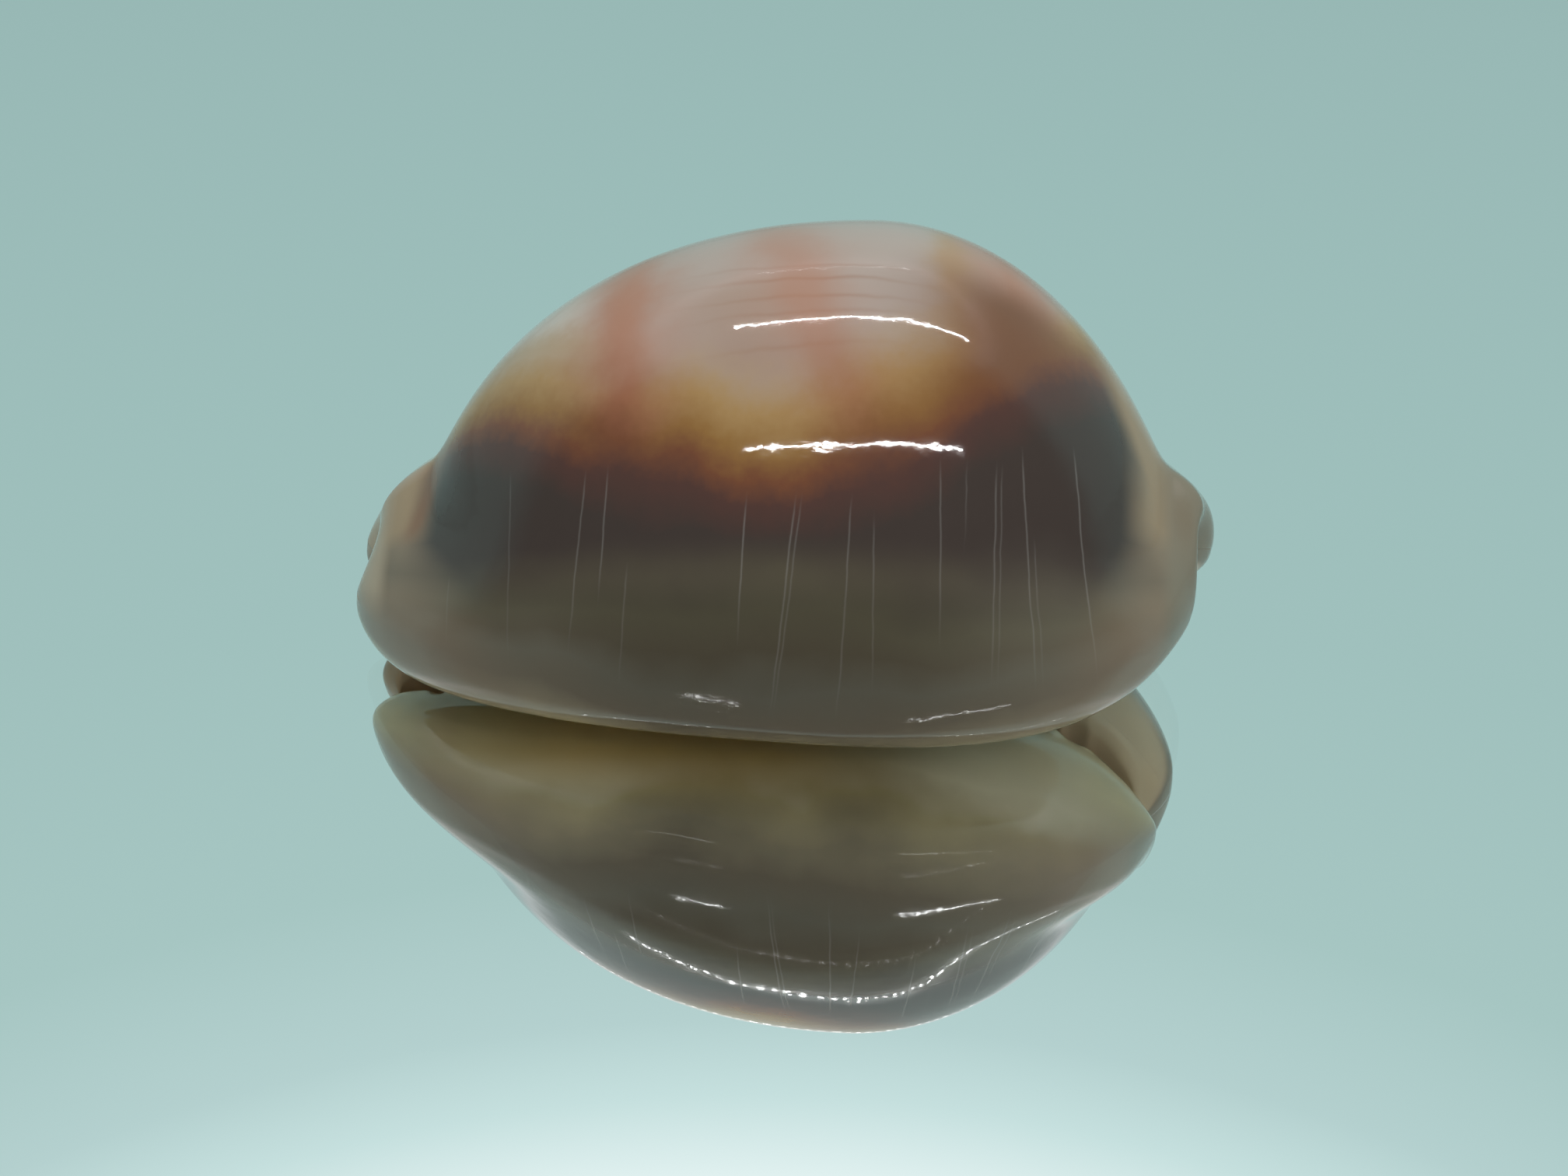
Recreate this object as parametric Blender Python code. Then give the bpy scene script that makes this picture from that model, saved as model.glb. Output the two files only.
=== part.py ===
"""Ventral cowrie shell, an adult, resting on its base.

The shell is one rolled sheet of porcelain-like material: a humped dome, a ring
of thick callus round its margin, and a flattish base split from end to end by
a narrow, toothed aperture that opens into the hollow body whorl.

Frame: metres, +Z up. +X points to the posterior end and +Y to the outer
(labral) lip. The origin is the middle of the footprint, on the resting plane.

Method: a loft. Each station along the length has one closed section loop that
runs over the outside from lip to lip and back through the slit and the hollow.
The loops shrink to a point at the head of the notch at each end. The whole is
then brought to its real length and centred on its footprint.
"""

import math

import bmesh
import bpy
import numpy as np

LENGTH = 0.052              # of the finished shell, over its lobes

# Overall form, set out within one per cent of its final size
HALF_LENGTH = 0.0257        # from the middle to where the outline closes at either end
LABRAL_HALF_WIDTH = 0.0142
COLUMELLAR_HALF_WIDTH = 0.0160
OUTLINE_POWER = 3.0         # how blunt the ends are, seen from above
OUTLINE_ROOT = 2.0
EGG = 0.11                  # extra width towards the posterior end

# Height of the widest line of the callus, above the resting plane
MARGIN_HEIGHT = 0.0055
MARGIN_HEIGHT_ANTERIOR = 0.0035
MARGIN_HEIGHT_POSTERIOR = 0.0083
MARGIN_POWER = 3            # how late along the length the ends' heights come in
MARGIN_DIP = 0.0014         # how much lower the line runs in the middle
COLUMELLAR_DRAWN_IN = 0.0005    # how much narrower the columellar side is there

# Callus ring: how far it reaches above that line, and how it runs down to the tips
CALLUS_RISE = 0.0106
CALLUS_UPPER_POWER = 1.21   # roundness of its upper half at the ends: 1 straight, 2 an oval
CALLUS_UPPER_POWER_MIDDLE = 2.0     # the same in the middle
CALLUS_SLOPE_POWER = 2.3
CALLUS_SLOPE_ROOT = 0.42
KEEL_ROUND = 0.12           # how rounded the widest line is

# Base: how square its corner is, and how it lifts at the ends
BASE_POWER = 3.2
BASE_LIFT_ANTERIOR = -0.0005
BASE_LIFT_POSTERIOR = 0.0055
BASE_LIFT_POWER = 4
LABRAL_DROP = 0.0018        # how much less the labral side lifts at the posterior end
TIP_BLUNT_ANTERIOR = 12     # how square the base's edge is at the tips, seen from the side
TIP_BLUNT_POSTERIOR = 9
WORN_FLAT = 0.00025         # depth by which the base is flat where it rests

# How much lower than the notch's head the widest line runs, at the ends, on each side
SAG_LABRAL_ANTERIOR = -0.0006
SAG_LABRAL_POSTERIOR = 0.0010
SAG_COLUMELLAR_ANTERIOR = 0.0
SAG_COLUMELLAR_POSTERIOR = 0.0018
SAG_REACH = 0.004           # distance from the slit over which it comes in
SAG_OF_BASE = 0.4           # share of it by which the base goes down too

# Dome
DOME_HEIGHT = 0.0208        # above the widest line
DOME_LABRAL = 0.0167
DOME_COLUMELLAR = 0.0154
DOME_PEAK_X = 0.0050
DOME_REACH_ANTERIOR = 0.0263
DOME_REACH_POSTERIOR = 0.0181
DOME_ROOT_ANTERIOR = 0.46
DOME_ROOT_POSTERIOR = 0.63
DOME_INSIDE = 0.6           # depth of its hidden underside, as a share of the base's
BLEND_POWER = 8             # how tightly dome and callus merge
FLANK_FILL = 0.0008         # how far the flanks are filled out above the callus
FLANK_FILL_ANGLE = math.radians(30)
FLANK_FILL_SPREAD = math.radians(25)

# Lobes either side of the notch at each end: how far they reach, and the labral one's lead
LOBE_REACH_ANTERIOR = 0.0009
LOBE_REACH_POSTERIOR = -0.0005
LOBE_TOP = 0.0033           # height above the notch's head where they start
LOBE_DEPTH = 0.005
LABRAL_LEAD_ANTERIOR = 0.0008
LABRAL_LEAD_POSTERIOR = 0.0020
LEAD_WIDTH = 0.006
TIP_POWER = 6               # how late along the length lobes, notches and sag come in

# Notch at each end, where the aperture runs out
NOTCH_DEPTH = 0.0020
NOTCH_LIFT = 0.0005
NOTCH_HALF_WIDTH = 0.0017
NOTCH_FADE = 0.0035         # height above the notch's head over which it dies out

# Aperture
APERTURE_Y = -0.0018
APERTURE_Y_ANTERIOR = -0.0011
APERTURE_Y_POSTERIOR = -0.0053
APERTURE_POWER = 4
SLIT_HALF_WIDTH = 0.0011
SLIT_HALF_WIDTH_ANTERIOR = 0.0017
SLIT_HALF_WIDTH_POSTERIOR = 0.0008
SLIT_POWER = 3
SLIT_BLUNT = 9              # how squarely the slit closes at its ends
LIP_ROUND = 0.0011
LIP_THICKNESS = 0.0048
LIP_CURL = 0.0009           # how far the base turns up towards the slit
LIP_CURL_REACH = 0.0046
LIP_LIMIT = 0.95            # most of a side's width that the slit may take

# Hollow
DORSAL_WALL = 0.0019
LABRAL_WALL = 0.0048
COLUMELLAR_WALL = 0.0060
WALL_POWER = 0.7            # how soon the wall thins from the sides up
HOLLOW_REACH = 0.84         # share of the half length that is hollow
HOLLOW_BLUNT = 4

# Teeth
LABRAL_TEETH = 22
COLUMELLAR_TEETH = 19
TEETH_REACH = 0.88          # share of the half length that carries teeth
TEETH_FADE_ANTERIOR = 0.08  # share over which the last ones die out
TEETH_FADE_POSTERIOR = 0.35
TOOTH_HEIGHT = 0.0003
LABRAL_TOOTH_LENGTH = 0.0030
COLUMELLAR_TOOTH_LENGTH = 0.0016
TEETH_TOP = 0.35            # where they end inside, as a share of the section's depth

# Facets
STATIONS_PER_TOOTH = 4
END_STATIONS = 9
OUTSIDE_POINTS = 33
ROUND_POINTS = 2
WALL_POINTS = 1
HOLLOW_SIDE_POINTS = 1
HOLLOW_TOP_POINTS = 5
CROWDING = 0.25             # 0 for evenly spaced points outside, 1 for most at the lips

TINY = 1e-6

COLOUR = (0.30, 0.22, 0.15, 1.0)
ROUGHNESS = 0.12


def ramp(x):
    """0 below 0, 1 above 1, smooth between."""
    x = np.clip(x, 0.0, 1.0)
    return x * x * (3.0 - 2.0 * x)


def towards_ends(t, middle, anterior, posterior, power):
    """A value that leaves the middle's for each end's."""
    end = np.where(t < 0, anterior, posterior)
    return middle + (end - middle) * np.abs(t) ** power


def closing(t, power, root=2.0):
    """1 over most of the length, falling to 0 at the ends; a higher power falls later."""
    return np.maximum(1 - np.abs(t) ** power, 0) ** (1 / root)


def oval(c, s, a, b, power):
    """Radius of a superellipse with semi-axes a and b, in the direction (c, s)."""
    return (np.abs(c / a) ** power + np.abs(s / b) ** power) ** (-1.0 / power)


def station_sizes(t):
    """The dimensions of the section at t, from -1 (anterior) to 1 (posterior)."""
    plan = closing(t, OUTLINE_POWER, OUTLINE_ROOT)
    wide = plan * (1 + EGG * t)
    cap = closing(t, np.where(t < 0, TIP_BLUNT_ANTERIOR, TIP_BLUNT_POSTERIOR))
    slit_cap = closing(t, SLIT_BLUNT)
    slope = closing(t, CALLUS_SLOPE_POWER, 1 / CALLUS_SLOPE_ROOT)
    aperture = towards_ends(
        t, APERTURE_Y, APERTURE_Y_ANTERIOR, APERTURE_Y_POSTERIOR, APERTURE_POWER
    )
    gap = towards_ends(
        t, SLIT_HALF_WIDTH, SLIT_HALF_WIDTH_ANTERIOR, SLIT_HALF_WIDTH_POSTERIOR, SLIT_POWER
    )
    fullness = np.maximum(1 - t**2, 0) ** 2
    dip = MARGIN_DIP * fullness
    margin = towards_ends(
        t, MARGIN_HEIGHT, MARGIN_HEIGHT_ANTERIOR, MARGIN_HEIGHT_POSTERIOR, MARGIN_POWER
    )
    margin = margin - dip
    lift = towards_ends(t, 0.0, BASE_LIFT_ANTERIOR, BASE_LIFT_POSTERIOR, BASE_LIFT_POWER)
    thickness = margin - lift + WORN_FLAT
    x = HALF_LENGTH * t
    along = x - DOME_PEAK_X
    reach = np.where(along < 0, DOME_REACH_ANTERIOR, DOME_REACH_POSTERIOR)
    root = np.where(along < 0, DOME_ROOT_ANTERIOR, DOME_ROOT_POSTERIOR)
    arch = np.maximum(1 - (along / reach) ** 2, 0)
    return {
        "t": t,
        "x": x,
        "aperture": aperture,
        "margin": margin,
        "labral": LABRAL_HALF_WIDTH * wide - aperture * plan + TINY,
        "columellar": COLUMELLAR_HALF_WIDTH * wide + aperture * plan
        - COLUMELLAR_DRAWN_IN * fullness + TINY,
        "thickness": thickness,
        "below": thickness * cap + TINY,
        "labral_drop": LABRAL_DROP * np.maximum(t, 0) ** BASE_LIFT_POWER * cap,
        "labral_sag": towards_ends(t, 0.0, SAG_LABRAL_ANTERIOR, SAG_LABRAL_POSTERIOR, TIP_POWER),
        "columellar_sag": towards_ends(
            t, 0.0, SAG_COLUMELLAR_ANTERIOR, SAG_COLUMELLAR_POSTERIOR, TIP_POWER
        ),
        "above": CALLUS_RISE * slope + TINY,
        "fullness": fullness,
        "dome": DOME_HEIGHT * arch**root + dip + TINY,
        "dome_width": np.sqrt(arch),
        "slit": gap * slit_cap,
        "round": LIP_ROUND * slit_cap,
        "curl": LIP_CURL * cap,
        "hollow": closing(t / HOLLOW_REACH, HOLLOW_BLUNT),
    }


def outer_radius(size, angle):
    """Distance from the section's centre, over the slit, to the outside."""
    c, s = np.cos(angle), np.sin(angle)
    half = np.where(c > 0, size["labral"], size["columellar"])
    below = size["below"] + size["labral_drop"] * (c > 0)
    power = CALLUS_UPPER_POWER + (CALLUS_UPPER_POWER_MIDDLE - CALLUS_UPPER_POWER) * size["fullness"]
    rounded = (np.hypot(s, KEEL_ROUND) - KEEL_ROUND) / (math.hypot(1, KEEL_ROUND) - KEEL_ROUND)
    callus = np.where(
        s < 0,
        oval(c, s, half, below, BASE_POWER),
        oval(c, rounded, half, size["above"], power),
    )
    mean = (DOME_LABRAL + DOME_COLUMELLAR) / 2
    lean = (DOME_LABRAL - DOME_COLUMELLAR) / 2 - size["aperture"]
    dome_half = (mean + lean * c) * size["dome_width"] + TINY
    dome_high = np.where(s < 0, DOME_INSIDE * below, size["dome"])
    dome = oval(c, s, dome_half, dome_high, 2.0)
    flank = np.exp(-(((np.arcsin(np.clip(s, -1, 1)) - FLANK_FILL_ANGLE) / FLANK_FILL_SPREAD) ** 2))
    fill = FLANK_FILL * size["fullness"] * flank
    return (callus**BLEND_POWER + dome**BLEND_POWER) ** (1 / BLEND_POWER) + fill


def lip_angle(size, half, below):
    """Angle, from straight down, of the place where the base meets the lip's rounding."""
    off = size["slit"] + size["round"]
    share = np.minimum(off / half, LIP_LIMIT)
    drop = below * (1 - share**BASE_POWER) ** (1 / BASE_POWER)
    return np.arctan2(off, drop)


def outside(size, count):
    """The outside, from the labral lip over the dome to the columellar lip."""
    q = np.linspace(0, 1, count)[None]
    crowded = q - CROWDING * np.sin(2 * math.pi * q) / (2 * math.pi)
    labral_below = size["below"] + size["labral_drop"]
    start = -math.pi / 2 + lip_angle(size, size["labral"], labral_below)
    end = 1.5 * math.pi - lip_angle(size, size["columellar"], size["below"])
    angle = start + (end - start) * crowded
    radius = outer_radius(size, angle)
    y, z = radius * np.cos(angle), radius * np.sin(angle)
    near_slit = ramp(1 - (np.abs(y) - size["slit"]) / LIP_CURL_REACH)
    curl = np.where(z < 0, size["curl"] * near_slit, 0.0)
    side = np.where(y > 0, size["labral_sag"], size["columellar_sag"])
    share = SAG_OF_BASE + (1 - SAG_OF_BASE) * ramp(1 + z / size["thickness"])
    return y, z + curl - side * ramp(np.abs(y) / SAG_REACH) * share


def hollow_radius(size, angle):
    """Distance from the section's centre to the inside of the wall."""
    c, s = np.cos(angle), np.maximum(np.sin(angle), 0)
    side = np.where(c > 0, LABRAL_WALL, COLUMELLAR_WALL)
    wall = side + (DORSAL_WALL - side) * s**WALL_POWER
    room = np.maximum(outer_radius(size, angle) - wall - size["slit"], 0)
    return size["slit"] + room * size["hollow"]


def inside(size, sign, edge_y, edge_z):
    """From one lip's edge round it, up the slit's wall and out along the hollow's floor.

    sign is 1 on the labral side and -1 on the columellar one.
    """
    turn = np.linspace(0, math.pi / 2, ROUND_POINTS + 1)[1:][None]
    round_y = edge_y - sign * size["round"] * np.sin(turn)
    round_z = edge_z + size["round"] * (1 - np.cos(turn))
    wall_top = np.minimum((LIP_THICKNESS - size["below"]) * size["hollow"], 0.0)
    up = np.linspace(0, 1, WALL_POINTS + 1)[1:][None]
    wall_y = round_y[:, [-1]] + (sign * size["slit"] - round_y[:, [-1]]) * up
    wall_z = round_z[:, [-1]] + (wall_top - round_z[:, [-1]]) * up
    level = 0.0 if sign > 0 else math.pi
    far = hollow_radius(size, np.full_like(size["x"], level))
    swing = np.linspace(0, math.pi / 2, HOLLOW_SIDE_POINTS + 1)[1:][None]
    side_y = sign * (size["slit"] + (far - size["slit"]) * np.sin(swing))
    side_z = wall_top * np.cos(swing)
    return np.hstack([round_y, wall_y, side_y]), np.hstack([round_z, wall_z, side_z])


def section_loops(t):
    """Closed loops of (y, z) about the slit, one row for each station."""
    size = station_sizes(t[:, None])
    y, z = outside(size, OUTSIDE_POINTS)
    labral_y, labral_z = inside(size, 1, y[:, [0]], z[:, [0]])
    columellar_y, columellar_z = inside(size, -1, y[:, [-1]], z[:, [-1]])
    over = math.pi * (1 - np.linspace(0, 1, HOLLOW_TOP_POINTS + 2)[1:-1][None])
    top = hollow_radius(size, over)
    y = np.hstack([y, columellar_y, top * np.cos(over), labral_y[:, ::-1]])
    z = np.hstack([z, columellar_z, top * np.sin(over), labral_z[:, ::-1]])
    return size, y, z


def tooth_wave(t, count):
    """Ridges from -1 to 1 along the lips, dying out towards the ends."""
    wave = np.cos(math.pi * (t / TEETH_REACH + 1) * count)
    fade = np.where(t < 0, TEETH_FADE_ANTERIOR, TEETH_FADE_POSTERIOR)
    return wave * ramp((TEETH_REACH - np.abs(t)) / fade)


def add_teeth(size, y, z):
    """Pushes the lips' points in and out along the section's own normal."""
    dy = np.roll(y, -1, 1) - np.roll(y, 1, 1)
    dz = np.roll(z, -1, 1) - np.roll(z, 1, 1)
    length = np.hypot(dy, dz) + TINY
    low = z < -TEETH_TOP * size["below"]
    height = np.zeros_like(y)
    for sign, count, reach in (
        (1, LABRAL_TEETH, LABRAL_TOOTH_LENGTH),
        (-1, COLUMELLAR_TEETH, COLUMELLAR_TOOTH_LENGTH),
    ):
        from_slit = sign * y - size["slit"]
        fade = ramp(1 - from_slit / reach) * low * (sign * y > 0)
        height += TOOTH_HEIGHT * fade * tooth_wave(size["t"], count)
    return y + dz / length * height, z - dy / length * height


def stations():
    """Places from -1 to 1: a few to each labral tooth, then closer and closer to each tip."""
    middle = np.linspace(-TEETH_REACH, TEETH_REACH, LABRAL_TEETH * STATIONS_PER_TOOTH + 1)
    turn = np.linspace(0, math.acos(TEETH_REACH), END_STATIONS + 1)[1:]
    end = np.cos(turn[:-1])
    return np.concatenate([-end, middle, end[::-1]])


def towards_tip(t, y, z):
    """How far the ends are drawn out along x, and up, at (y, z) from the notch's head.

    The lobes reach out below the head, the labral one leads, and the notch is
    pushed in between them and up.
    """
    reach = np.where(t > 0, LOBE_REACH_POSTERIOR, LOBE_REACH_ANTERIOR)
    lead = np.where(t > 0, LABRAL_LEAD_POSTERIOR, LABRAL_LEAD_ANTERIOR)
    lobes = reach * ramp((LOBE_TOP - z) / LOBE_DEPTH) + lead * np.tanh(y / LEAD_WIDTH)
    notch = np.exp(-((y / NOTCH_HALF_WIDTH) ** 2) - (np.maximum(z, 0) / NOTCH_FADE) ** 2)
    late = np.abs(t) ** TIP_POWER
    return np.sign(t) * (lobes - NOTCH_DEPTH * notch) * late, NOTCH_LIFT * notch * late


def shell_grid():
    """Every station's loop as a row of points."""
    size, y, z = section_loops(stations())
    y, z = add_teeth(size, y, z)
    out, up = towards_tip(size["t"], y, z)
    height = np.maximum(size["margin"] + z + up, 0.0)
    return np.stack([size["x"] + out, size["aperture"] + y, height], -1)


def notch_head(side):
    """The point that the loops shrink to: side is -1 at the anterior end, 1 at the posterior."""
    size = station_sizes(np.array([[float(side)]]))
    out, up = towards_tip(size["t"], 0.0, 0.0)
    head = (size["x"] + out, size["aperture"], size["margin"] + up)
    return np.array([value.item() for value in head])


def settle(grid, heads):
    """The same points brought to LENGTH, with the middle of the footprint at the origin."""
    low = grid.min(axis=(0, 1))
    high = grid.max(axis=(0, 1))
    middle = (low + high) / 2
    middle[2] = low[2]
    scale = LENGTH / (high[0] - low[0])
    return (grid - middle) * scale, [(head - middle) * scale for head in heads]


def loft(name, grid, heads):
    """A closed mesh through rows of points, with a fan at each end."""
    mesh = bmesh.new()
    rows = [[mesh.verts.new(point) for point in row] for row in grid]
    count = len(rows[0])
    for near, far in zip(rows, rows[1:]):
        for i in range(count):
            j = (i + 1) % count
            mesh.faces.new((near[i], near[j], far[j], far[i]))
    for row, head in ((rows[0], heads[0]), (rows[-1], heads[1])):
        tip = mesh.verts.new(head)
        for i in range(count):
            mesh.faces.new((row[i], tip, row[(i + 1) % count]))
    bmesh.ops.recalc_face_normals(mesh, faces=mesh.faces)
    data = bpy.data.meshes.new(name)
    mesh.to_mesh(data)
    mesh.free()
    return bpy.data.objects.new(name, data)


def porcelain():
    """The shell's glossy grey-brown surface."""
    material = bpy.data.materials.new("shell_porcelain")
    material.use_nodes = True
    surface = material.node_tree.nodes["Principled BSDF"]
    surface.inputs["Base Color"].default_value = COLOUR
    surface.inputs["Roughness"].default_value = ROUGHNESS
    surface.inputs["Metallic"].default_value = 0.0
    return material


def main():
    for old in list(bpy.data.objects):
        bpy.data.objects.remove(old)
    collection = bpy.data.collections.new("ventral_cowrie_shell")
    bpy.context.scene.collection.children.link(collection)
    grid, heads = settle(shell_grid(), (notch_head(-1), notch_head(1)))
    shell = loft("shell", grid, heads)
    shell.data.materials.append(porcelain())
    shell.data.shade_smooth()
    collection.objects.link(shell)


main()
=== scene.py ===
"""Ventral cowrie shell: the fine surface and the finish, on a pale polished floor.

The shell is one closed surface, worked out on a grid of two parameters: places
along the length (stations) and points round each section. It has the formulas
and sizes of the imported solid, with about twenty times as many facets and with
teeth of their full height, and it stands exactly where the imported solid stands.

Frame: metres, +Z up, +X to the posterior end, +Y to the outer (labral) lip.
"""

import math

import bpy
import numpy as np
from mathutils import Matrix, Vector


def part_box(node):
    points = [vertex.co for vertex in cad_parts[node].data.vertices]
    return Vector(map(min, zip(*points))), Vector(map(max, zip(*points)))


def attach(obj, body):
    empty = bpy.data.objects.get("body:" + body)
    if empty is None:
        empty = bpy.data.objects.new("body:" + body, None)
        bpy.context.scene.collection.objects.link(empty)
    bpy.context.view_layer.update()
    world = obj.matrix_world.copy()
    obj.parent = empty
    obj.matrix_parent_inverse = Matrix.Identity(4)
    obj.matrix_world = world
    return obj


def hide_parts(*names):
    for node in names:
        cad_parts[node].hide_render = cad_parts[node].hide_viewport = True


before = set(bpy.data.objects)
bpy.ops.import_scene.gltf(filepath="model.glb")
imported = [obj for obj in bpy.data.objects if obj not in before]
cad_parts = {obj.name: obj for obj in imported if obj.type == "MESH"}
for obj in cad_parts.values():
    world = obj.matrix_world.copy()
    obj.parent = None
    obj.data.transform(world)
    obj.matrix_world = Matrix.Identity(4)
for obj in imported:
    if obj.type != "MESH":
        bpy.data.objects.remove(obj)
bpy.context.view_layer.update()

MM = 0.001

# Overall form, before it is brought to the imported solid's length
HALF_LENGTH = 25.7 * MM
LABRAL_HALF_WIDTH = 14.2 * MM
COLUMELLAR_HALF_WIDTH = 16.0 * MM
OUTLINE_POWER = 3.0
OUTLINE_ROOT = 2.0
EGG = 0.11

# Height of the widest line of the callus, above the resting plane
MARGIN_HEIGHT = 5.5 * MM
MARGIN_HEIGHT_ANTERIOR = 3.5 * MM
MARGIN_HEIGHT_POSTERIOR = 8.3 * MM
MARGIN_POWER = 3
MARGIN_DIP = 1.4 * MM
COLUMELLAR_DRAWN_IN = 0.5 * MM

# Callus ring
CALLUS_RISE = 10.6 * MM
CALLUS_UPPER_POWER = 1.21
CALLUS_UPPER_POWER_MIDDLE = 2.0
CALLUS_SLOPE_POWER = 2.3
CALLUS_SLOPE_ROOT = 0.42
KEEL_ROUND = 0.12

# Base
BASE_POWER = 3.2
BASE_LIFT_ANTERIOR = -0.5 * MM
BASE_LIFT_POSTERIOR = 5.5 * MM
BASE_LIFT_POWER = 4
LABRAL_DROP = 1.8 * MM
TIP_BLUNT_ANTERIOR = 12
TIP_BLUNT_POSTERIOR = 9
WORN_FLAT = 0.25 * MM

# How much lower than the notch's head the widest line runs, at the ends, on each side
SAG_LABRAL_ANTERIOR = -0.6 * MM
SAG_LABRAL_POSTERIOR = 1.0 * MM
SAG_COLUMELLAR_ANTERIOR = 0.0 * MM
SAG_COLUMELLAR_POSTERIOR = 1.8 * MM
SAG_REACH = 4.0 * MM
SAG_OF_BASE = 0.4

# Dome
DOME_HEIGHT = 20.8 * MM
DOME_LABRAL = 16.7 * MM
DOME_COLUMELLAR = 15.4 * MM
DOME_PEAK_X = 5.0 * MM
DOME_REACH_ANTERIOR = 26.3 * MM
DOME_REACH_POSTERIOR = 18.1 * MM
DOME_ROOT_ANTERIOR = 0.46
DOME_ROOT_POSTERIOR = 0.63
DOME_INSIDE = 0.6
BLEND_POWER = 8
FLANK_FILL = 0.8 * MM
FLANK_FILL_ANGLE = math.radians(30)
FLANK_FILL_SPREAD = math.radians(25)

# Lobes either side of the notch at each end
LOBE_REACH_ANTERIOR = 0.9 * MM
LOBE_REACH_POSTERIOR = -0.5 * MM
LOBE_TOP = 3.3 * MM
LOBE_DEPTH = 5.0 * MM
LABRAL_LEAD_ANTERIOR = 0.8 * MM
LABRAL_LEAD_POSTERIOR = 2.0 * MM
LEAD_WIDTH = 6.0 * MM
TIP_POWER = 6

# Notch at each end
NOTCH_DEPTH = 2.0 * MM
NOTCH_LIFT = 0.5 * MM
NOTCH_HALF_WIDTH = 1.7 * MM
NOTCH_FADE = 3.5 * MM

# Aperture
APERTURE_Y = -1.8 * MM
APERTURE_Y_ANTERIOR = -1.1 * MM
APERTURE_Y_POSTERIOR = -5.3 * MM
APERTURE_POWER = 4
SLIT_HALF_WIDTH = 1.1 * MM
SLIT_HALF_WIDTH_ANTERIOR = 1.7 * MM
SLIT_HALF_WIDTH_POSTERIOR = 0.8 * MM
SLIT_POWER = 3
SLIT_BLUNT = 9
LIP_ROUND = 1.1 * MM
LIP_THICKNESS = 4.8 * MM
LIP_CURL = 0.9 * MM
LIP_CURL_REACH = 4.6 * MM
LIP_LIMIT = 0.95

# Hollow
DORSAL_WALL = 1.9 * MM
LABRAL_WALL = 4.8 * MM
COLUMELLAR_WALL = 6.0 * MM
WALL_POWER = 0.7
HOLLOW_REACH = 0.84
HOLLOW_BLUNT = 4

# Teeth
LABRAL_TEETH = 22
COLUMELLAR_TEETH = 19
TEETH_REACH = 0.88
TEETH_FADE_ANTERIOR = 0.08
TEETH_FADE_POSTERIOR = 0.35
TOOTH_HEIGHT = 0.42 * MM
TOOTH_SHARPNESS = 1.7          # 1 for a plain wave; higher makes narrower ridges
LABRAL_TOOTH_LENGTH = 3.0 * MM
COLUMELLAR_TOOTH_LENGTH = 1.5 * MM
TEETH_TOP = 0.25

# Fineness of the surface
STATIONS_PER_TOOTH = 16
END_STATIONS = 36
OUTSIDE_POINTS = 150
ROUND_POINTS = 7
WALL_POINTS = 6
HOLLOW_SIDE_POINTS = 6
HOLLOW_TOP_POINTS = 22
CROWDING = 0.35

HEAD_SHARE = 0.5               # share of the way round that the notch heads count as

TINY = 1e-6                    # keeps sizes that are divided by above 0


def ramp(x):
    """0 below 0, 1 above 1, and x squared times (3 - 2x) between."""
    x = np.clip(x, 0.0, 1.0)
    return x * x * (3.0 - 2.0 * x)


def towards_ends(t, middle, anterior, posterior, power):
    """The middle's value plus the step to the end's value, times |t| to the power."""
    end = np.where(t < 0, anterior, posterior)
    return middle + (end - middle) * np.abs(t) ** power


def closing(t, power, root=2.0):
    """The root-th root of 1 - |t| to the power: 1 in the middle, 0 at both ends."""
    return np.maximum(1 - np.abs(t) ** power, 0) ** (1 / root)


def oval(c, s, a, b, power):
    """Radius, in direction (c, s), of the curve |y/a|^power + |z/b|^power = 1."""
    return (np.abs(c / a) ** power + np.abs(s / b) ** power) ** (-1.0 / power)


def crowded(count):
    """Shares from 0 to 1, less a sine that puts them closer together near both ends."""
    q = np.linspace(0, 1, count)
    return q - CROWDING * np.sin(2 * math.pi * q) / (2 * math.pi)


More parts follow.
